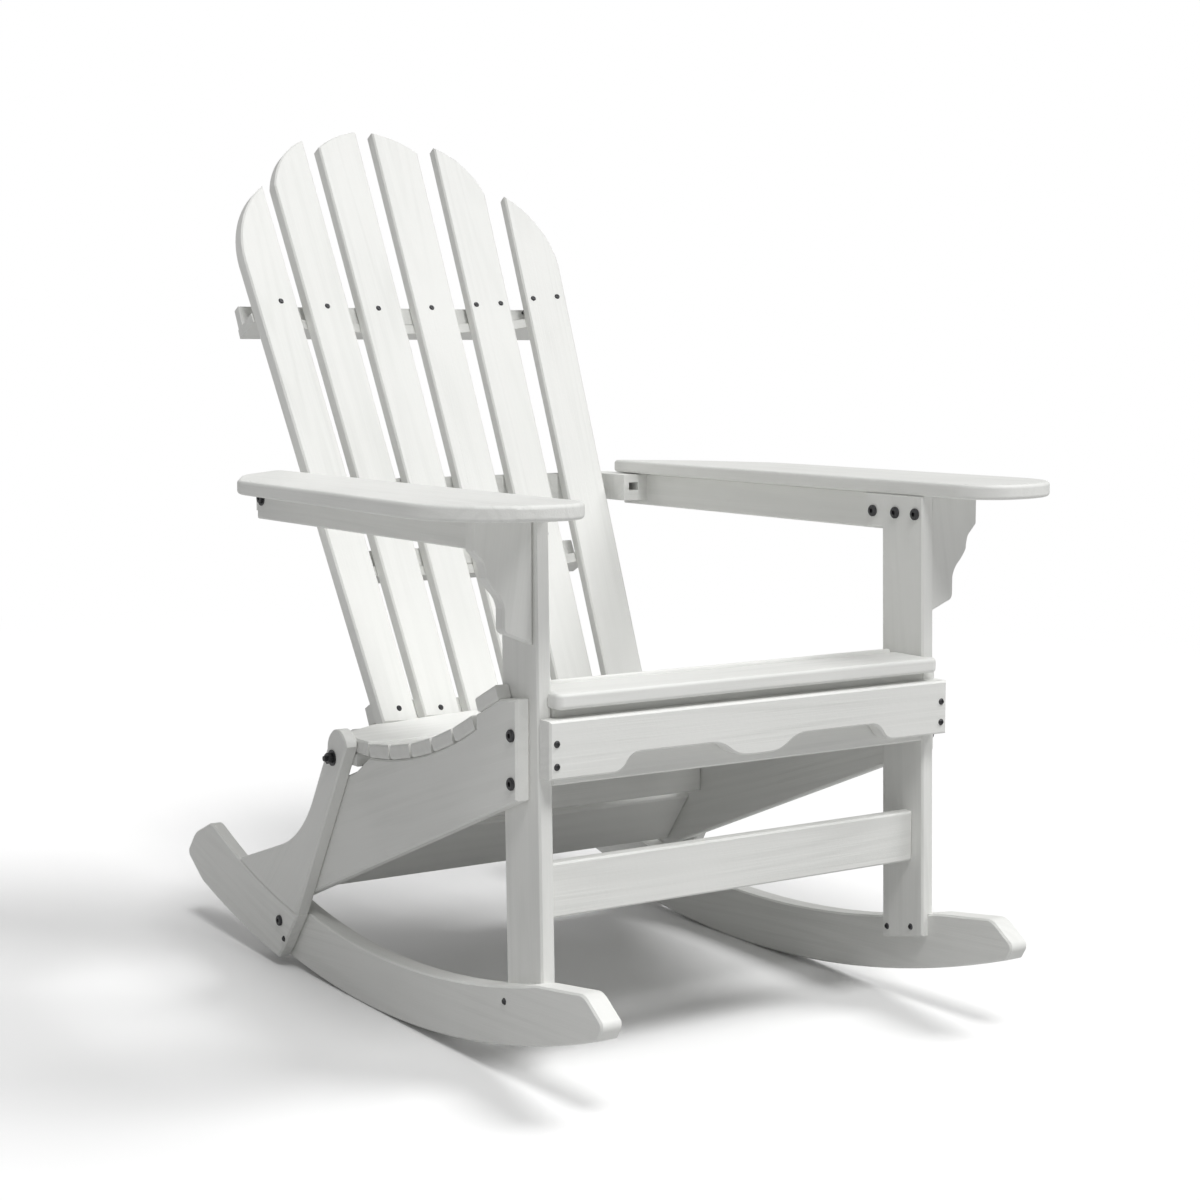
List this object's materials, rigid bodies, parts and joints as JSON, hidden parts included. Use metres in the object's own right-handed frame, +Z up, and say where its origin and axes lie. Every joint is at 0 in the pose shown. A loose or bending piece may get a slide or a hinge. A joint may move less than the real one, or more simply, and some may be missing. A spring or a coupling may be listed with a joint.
{
  "type": "rocking chair",
  "caption": "Painted wooden adirondack rocking chair: fanned slat back, hollowed slat seat, broad flat arms on bracketed posts, and curved rockers.",
  "frame": {"origin": "on the floor, at the middle of the chair's bounding box seen from above", "axes": "+Z is up. The sitter faces -Y. +X is the sitter's left. x = 0 is the plane of symmetry, and z = 0 is the floor that the rockers rest on."},
  "size_m": [0.7814, 1.008, 1.0142],
  "materials": {
    "painted_wood": "white satin paint over planed boards, grain showing faintly in the film",
    "bare_wood": "unpainted turned dowel",
    "black_steel": "black coated steel"
  },
  "bodies": {
    "root": {"apron_screws": "black_steel", "arm_bracket_left": "painted_wood", "arm_bracket_right": "painted_wood", "arm_left": "painted_wood", "arm_post_bolts": "black_steel", "arm_rail_left": "painted_wood", "arm_rail_right": "painted_wood", "arm_right": "painted_wood", "back_cleat_lower": "painted_wood", "back_crossbar": "painted_wood", "back_ledge_middle": "painted_wood", "back_ledge_upper": "painted_wood", "back_screws_lower": "black_steel", "back_screws_upper": "black_steel", "back_slat_1": "painted_wood", "back_slat_2": "painted_wood", "back_slat_3": "painted_wood", "back_slat_4": "painted_wood", "back_slat_5": "painted_wood", "back_slat_6": "painted_wood", "back_support_lower": "painted_wood", "back_support_middle": "painted_wood", "back_support_upper": "painted_wood", "crossbar_bolts": "black_steel", "crossbar_washers": "black_steel", "front_apron": "painted_wood", "front_post_left": "painted_wood", "front_post_right": "painted_wood", "front_stretcher": "painted_wood", "leg_top_nuts": "black_steel", "leg_top_studs": "black_steel", "leg_top_washers": "black_steel", "lower_brace": "painted_wood", "post_foot_screws": "black_steel", "rear_leg_left": "painted_wood", "rear_leg_right": "painted_wood", "rocker_face_screws": "black_steel", "rocker_front_left": "painted_wood", "rocker_front_right": "painted_wood", "rocker_lap_bolts": "black_steel", "rocker_lap_screws": "black_steel", "rocker_rear_left": "painted_wood", "rocker_rear_right": "painted_wood", "seat_front_rail": "painted_wood", "seat_rail_bolts": "black_steel", "seat_rail_left": "painted_wood", "seat_rail_right": "painted_wood", "seat_rear_rail": "painted_wood", "seat_slat_1": "painted_wood", "seat_slat_2": "painted_wood", "seat_slat_3": "painted_wood", "seat_slat_4": "painted_wood", "seat_slat_5": "painted_wood", "seat_slat_6": "painted_wood", "seat_slat_7": "painted_wood", "seat_slat_8": "painted_wood", "stretcher_dowels": "bare_wood"}
  },
  "joints": []
}
